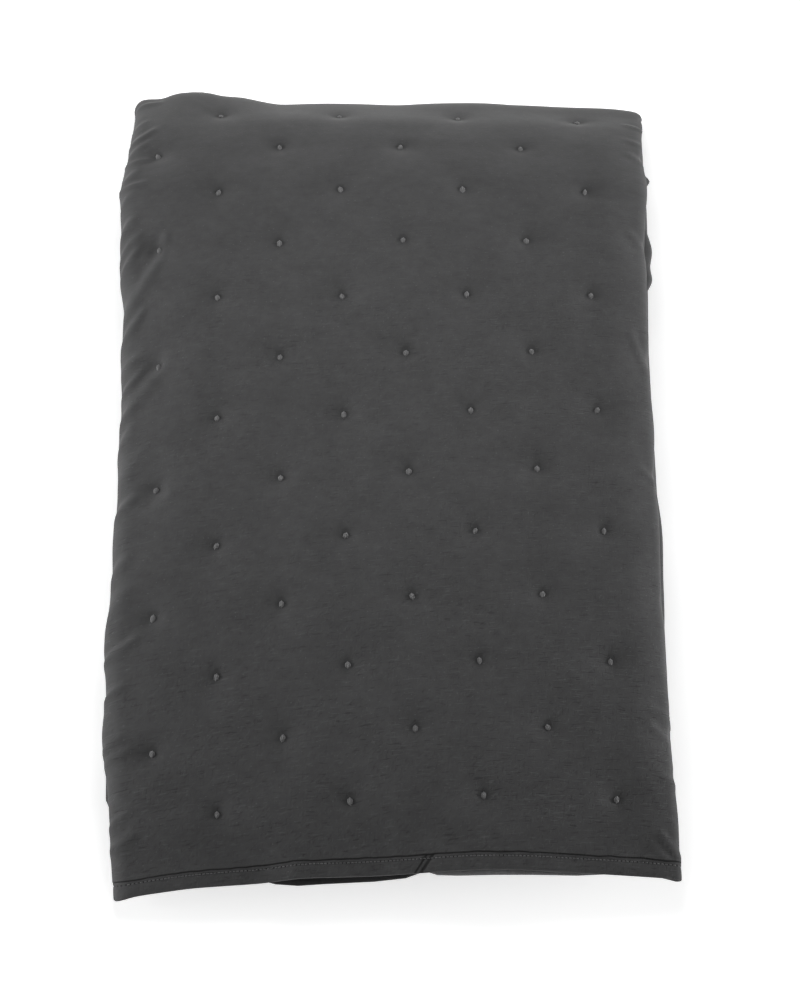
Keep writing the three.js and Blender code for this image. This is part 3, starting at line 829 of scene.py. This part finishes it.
class Shade:
    """A socket of a node tree. Arithmetic on it adds Math nodes, and node() adds any other node."""

    def __init__(self, tree, socket=None):
        self.tree, self.socket = tree, socket

    def node(self, kind, settings=None, sockets=None, output=0):
        made = self.tree.nodes.new(kind)
        for name, value in (settings or {}).items():
            setattr(made, name, value)
        for name, value in (sockets or {}).items():
            if isinstance(value, Shade):
                self.tree.links.new(value.socket, made.inputs[name])
            else:
                made.inputs[name].default_value = value
        return Shade(self.tree, made.outputs[output] if len(made.outputs) else None)

    def math(self, operation, *values):
        return self.node("ShaderNodeMath", {"operation": operation}, dict(enumerate(values)))

    def __add__(self, other):
        return self.math("ADD", self, other)

    def __sub__(self, other):
        return self.math("SUBTRACT", self, other)

    def __rsub__(self, other):
        return self.math("SUBTRACT", other, self)

    def __mul__(self, other):
        return self.math("MULTIPLY", self, other)

    __radd__, __rmul__ = __add__, __mul__


def raised(value, low, high):
    """A smooth step from low to high."""
    return value.node("ShaderNodeMapRange", {"interpolation_type": "SMOOTHSTEP"},
                      {"Value": value, "From Min": low, "From Max": high})


def new_finish(name):
    """An empty material and the start of its formula."""
    material = bpy.data.materials.new(name)
    material.use_nodes = True
    material.node_tree.nodes.clear()
    return material, Shade(material.node_tree)


# %% [markdown]
# ## Washed cotton
# The cloth is a plain weave of uneven yarn, washed until it crinkled: short faint marks lie along both
# yarn directions, and some on the slant. They gather in patches, grow towards the hem and are fewest over
# the far fold, where the cloth is drawn tight. An image could hold them, but noise on the flat cloth's own
# coordinates follows every fold and needs none: even noise mottles the colour, and stretched noise gives
# the marks. Painted shade darkens the cloth round each knot, a little towards its far side, where the
# cloth is pinched into the knot's hole. Painted shade also lies in the seam, in the stitches' holes, in
# the lines of the strip's join and on the strip where it lies below the left fold, and painted light
# brightens the strip past its right fold. A light sheen brightens the edges, as fibre ends do on cotton.

# %% Noise and distances on the flat cloth


def stretched(cloth_place, across, along, detail, turned=0.0):
    """Noise in cells of the given millimetres across and along the flat cloth, turned by an angle."""
    cells = cloth_place.node("ShaderNodeMapping", {"vector_type": "TEXTURE"}, {
        "Vector": cloth_place, "Rotation": (0, 0, turned), "Scale": (across * MM, along * MM, 1.0)})
    return cloth_place.node("ShaderNodeTexNoise", {"noise_dimensions": "2D"},
                            {"Vector": cells, "Scale": 1.0, "Detail": detail, "Roughness": 0.55})


def from_line(value, first, step):
    """Distance from the nearest of evenly spaced lines, above or below."""
    cycles = value * (1 / step) + (0.5 - first / step)
    return (cycles.math("FRACT", cycles) - 0.5) * step


def from_knots(across, along, first_across, first_along):
    """Distance from the nearest knot of a lattice that starts at the given place."""
    a = from_line(across, first_across, KNOT_STEP_ACROSS)
    b = from_line(along, first_along, KNOT_STEP_ALONG)
    return a.math("SQRT", a * a + b * b)


def marks(cloth_place, across, along, turned):
    """Sparse short marks: the highs of stretched noise, a little fainter, less its lows."""
    noise = stretched(cloth_place, across, along, 1.0, turned)
    return 0.85 * raised(noise, 0.64, 0.78) - raised(noise, 0.36, 0.22)


def darkened(value, low, high, least):
    """A shade that goes from its least at low to one at high."""
    return least + (1 - least) * raised(value, low, high)


# %% Cotton
KNOT_SHADE_SHIFT = 2.8  # how far the middle of the painted shade round a knot lies beyond the knot, towards the far fold
PLAIN, GRAIN, CRINKLE, LINT = 0.64, 0.11, 0.28, 0.4  # what each adds to the cloth's shade
# Crinkles along either yarn and on the slant: size across and along, and angle.
CRINKLES_ACROSS, CRINKLES_ALONG, CRINKLES_SLANT = (12, 1.9, 0.05), (1.8, 7, -0.12), (8, 1.9, 0.75)
# Painted shade: the distances between which it fades, and the shade that is left in it.
SEAM_DARK, KNOT_DARK, STITCH_DARK = (0.6, 1.6, 0.06), (2.4, 4.6, 0.85), (0.4, 0.9, 0.35)
JOIN_DARK = (0.4, 1.3, 0.3)  # its distances in half-widths of the join's line
LOWER_DARK = (-262, -244, 0.5)  # painted shade on the strip past the left fold, where it lies below
PAINTED_LIGHT_SPAN, PAINTED_LIGHT_GAIN = (226, 236), 1.8  # painted light on the strip past the right fold


def matt_cloth(colour, shade, height, depth, roughness, sheen):
    """A matt surface: the colour times a shade, with bump of the given depth in millimetres."""
    bump = shade.node("ShaderNodeBump", None, {"Height": height, "Strength": 1.0, "Distance": depth * MM})
    tinted = shade.node("ShaderNodeVectorMath", {"operation": "SCALE"}, {0: colour, "Scale": shade})
    surface = shade.node("ShaderNodeBsdfPrincipled", None, {
        "Base Color": tinted, "Roughness": roughness, "Normal": bump, "Specular IOR Level": 0.2,
        "Sheen Weight": sheen, "Sheen Roughness": 0.5})
    shade.node("ShaderNodeOutputMaterial", None, {"Surface": surface})


def cotton(name, colour, sheen, knotted):
    """Plain weave, mottled, with a little lint and short crinkles that grow towards the hem in patches.

    It has painted shade in the seam, round the knots, in the stitches' holes, in the lines of the strip's
    join and where the strip lies below, and painted light where the strip passes its right fold."""
    material, start = new_finish(name)
    cloth_place = start.node("ShaderNodeUVMap", {"uv_map": "cloth"})
    across, along = (
        1000 * start.node("ShaderNodeSeparateXYZ", None, {"Vector": cloth_place}, axis) for axis in (0, 1))
    mottled = 0.34 * stretched(cloth_place, 34, 26, 3.0) + 0.27 * stretched(cloth_place, 9, 7, 2.0)
    grain = stretched(cloth_place, 1.7, 1.4, 3.0)
    lint = raised(stretched(cloth_place, 2.0, 1.6, 0.0), 0.82, 0.9)
    crinkles = (marks(cloth_place, *CRINKLES_ACROSS) + 0.6 * marks(cloth_place, *CRINKLES_ALONG)
                + 0.6 * marks(cloth_place, *CRINKLES_SLANT))
    crinkles = crinkles * (0.15 + 0.4 * raised(along, 660, 420) + 0.45 * raised(along, 300, 40))
    crinkles = crinkles * (0.7 + 0.45 * raised(stretched(cloth_place, 55, 38, 1.0), 0.42, 0.62))
    shade = PLAIN + mottled + GRAIN * grain + CRINKLE * crinkles + LINT * lint
    # painted shade in the seam's ditch, along a line that wanders a little
    wander = 2.0 * stretched(cloth_place, 18, 500, 1.0) - 1.0
    seam = along - wander - (BINDING_WIDTH + 0.2)
    shade = shade * darkened(seam.math("ABSOLUTE", seam), *SEAM_DARK)
    if knotted:
        # painted shade round each knot, where the cloth dips into its hole
        even = from_knots(across, along, KNOT_COLUMN + COLUMN_STEP, FIRST_ROW + KNOT_SHADE_SHIFT)
        odd = from_knots(across, along, KNOT_COLUMN, FIRST_ROW + KNOT_SHADE_SHIFT + ROW_STEP)
        shade = shade * darkened(even.math("MINIMUM", even, odd), *KNOT_DARK)
    else:
        # painted shade in the stitches' holes
        hole = from_line(across, FIRST_STITCH + STITCH_PITCH / 2, STITCH_PITCH)
        aside = along - STITCH_LINE
        hole = hole.math("SQRT", hole * hole + aside * aside)
        shade = shade * darkened(hole, *STITCH_DARK)
        # painted shade along the two grooves of the strip's join
        dark_from, dark_to, least = JOIN_DARK
        for middle, width, _ in JOINS:
            join = across - JOIN_SLANT * along - (middle - JOIN_SLANT * BINDING_WIDTH / 2)
            away = join.math("ABSOLUTE", join)
            shade = shade * darkened(away, dark_from * width, dark_to * width, least)
        # painted shade on the strip below the left fold, and painted light on it past the right fold
        shade = shade * darkened(across, *LOWER_DARK) * (1 + PAINTED_LIGHT_GAIN * raised(across, *PAINTED_LIGHT_SPAN))
    matt_cloth(colour, shade, crinkles + 0.5 * grain, depth=0.15, roughness=0.92, sheen=sheen)
    return material


QUILT_COLOUR, BINDING_COLOUR = (0.05, 0.05, 0.0508), (0.047, 0.047, 0.0478)
quilt_cotton = cotton("quilt_cotton", QUILT_COLOUR, 0.13, knotted=True)
binding_cotton = cotton("binding_cotton", BINDING_COLOUR, 0.15, knotted=False)
print("cotton of", len(quilt_cotton.node_tree.nodes), "and", len(binding_cotton.node_tree.nodes), "nodes")

# %% [markdown]
# ## Thread
# The knots and stitches are of a lighter twisted thread. Its twist shows as fine slanted ribs, which are
# too small to model, so a wave pattern gives them as shade and bump.

# %% Thread, and every finish on its piece


def thread(name, colour):
    """Twisted thread: fine slanted ribs, a wave of shade and bump."""
    material, start = new_finish(name)
    thread_place = start.node("ShaderNodeTexCoord", None, None, "Object")
    ribs = start.node("ShaderNodeTexWave", {"bands_direction": "DIAGONAL"},
                      {"Vector": thread_place, "Scale": 450.0, "Distortion": 1.5})
    matt_cloth(colour, 0.8 + 0.3 * ribs, ribs, depth=0.2, roughness=0.85, sheen=0.15)
    return material


KNOT_COLOUR, STITCH_COLOUR = (0.155, 0.155, 0.156), (0.11, 0.11, 0.112)
finishes = [
    (quilt, quilt_cotton), (binding_front, binding_cotton), (binding_inner, binding_cotton),
    (knots, thread("knot_thread", KNOT_COLOUR)), (stitches, thread("stitch_thread", STITCH_COLOUR))]
for made, finish in finishes:
    made.data.materials.append(finish)
print("finishes", [finish.name for _, finish in finishes])

# %% [markdown]
# ## Floor, light and camera
# The stack lies on a white floor that glows a little, like a lit table. A lamp hangs above it, and the
# sky is brightest at both sides, so that the rims shine and the slope that faces the viewer is darker.
# The camera looks down on the front hem.

# %% The floor
FLOOR_SIZE, FLOOR_GLOW = 16.0, 0.6
half = FLOOR_SIZE / 2
floor_mesh = bpy.data.meshes.new("floor")
corners = [(-half, -half, 0), (half, -half, 0), (half, half, 0), (-half, half, 0)]
floor_mesh.from_pydata(corners, [], [(0, 1, 2, 3)])
floor = in_scene("floor", floor_mesh)
floor_paint, start = new_finish("floor_paint")
paint = start.node("ShaderNodeBsdfPrincipled", None, {
    "Base Color": (0.9, 0.9, 0.9, 1), "Roughness": 0.9, "Specular IOR Level": 0.1,
    "Emission Color": (1, 1, 1, 1), "Emission Strength": FLOOR_GLOW})
start.node("ShaderNodeOutputMaterial", None, {"Surface": paint})
floor_mesh.materials.append(floor_paint)
print("floor of", FLOOR_SIZE, "m")

# %% The light
SKY_FROM = (-0.05, 0.9, 0.42)
SKY_BASE, SKY_GAIN, SKY_FOCUS = 0.08, 0.1, 8.0  # all round, and more from one direction
SIDES_GAIN, SIDES_FOCUS = 38.0, 28.0  # from both sides
LAMP_PLACE, LAMP_SIZE, LAMP_POWER = Vector((-0.03, 0.24, 0.8)), 0.5, 3.65
world = bpy.data.worlds.new("studio")
world.use_nodes = True
world.node_tree.nodes.clear()
sky = Shade(world.node_tree)
towards = sky.node("ShaderNodeTexCoord", None, None, "Generated")
facing = sky.node("ShaderNodeVectorMath", {"operation": "DOT_PRODUCT"},
                  {0: towards, 1: Vector(SKY_FROM).normalized()}, "Value")
facing = facing.math("MAXIMUM", facing, 0.0)
sideways = sky.node("ShaderNodeSeparateXYZ", None, {"Vector": towards}, "X")
sideways = sideways.math("ABSOLUTE", sideways)
glow = (SKY_BASE + SKY_GAIN * facing.math("POWER", facing, SKY_FOCUS)
        + SIDES_GAIN * sideways.math("POWER", sideways, SIDES_FOCUS))
light = sky.node("ShaderNodeBackground", None, {"Color": (1, 1, 1, 1), "Strength": glow})
sky.node("ShaderNodeOutputWorld", None, {"Surface": light})
bpy.context.scene.world = world
bpy.context.scene.view_settings.view_transform = "Standard"

lamp_light = bpy.data.lights.new("lamp", "AREA")
lamp_light.shape, lamp_light.size, lamp_light.energy = "DISK", LAMP_SIZE, LAMP_POWER
lamp = in_scene("lamp", lamp_light)
lamp.location = LAMP_PLACE
lamp.rotation_euler = (-LAMP_PLACE).to_track_quat("-Z", "Y").to_euler()
print("lamp of", LAMP_POWER, "W at", [round(value, 2) for value in LAMP_PLACE])

# %% The camera
CAMERA_TARGET = Vector((0.01003, -0.04796, 0.06))
CAMERA_DISTANCE, CAMERA_AZIMUTH, CAMERA_ELEVATION, CAMERA_LENS = 2.4826, -1.251, 63.17, 108.0
lens = bpy.data.cameras.new("camera")
lens.lens, lens.sensor_width, lens.clip_end = CAMERA_LENS, 36.0, 20.0
camera = in_scene("camera", lens)
a, e = np.radians((CAMERA_AZIMUTH, CAMERA_ELEVATION))
towards_viewer = Vector((np.sin(a) * np.cos(e), -np.cos(a) * np.cos(e), np.sin(e)))
camera.location = CAMERA_TARGET + CAMERA_DISTANCE * towards_viewer
camera.rotation_euler = (-towards_viewer).to_track_quat("-Z", "Y").to_euler()
bpy.context.scene.camera = camera
print("camera at", [round(value, 3) for value in camera.location])

# %% [markdown]
# ## What the cloth is
# Last comes the width of the flat cloth, in metres.

# %% The flat cloth's width
CLOTH_WIDTH * MM
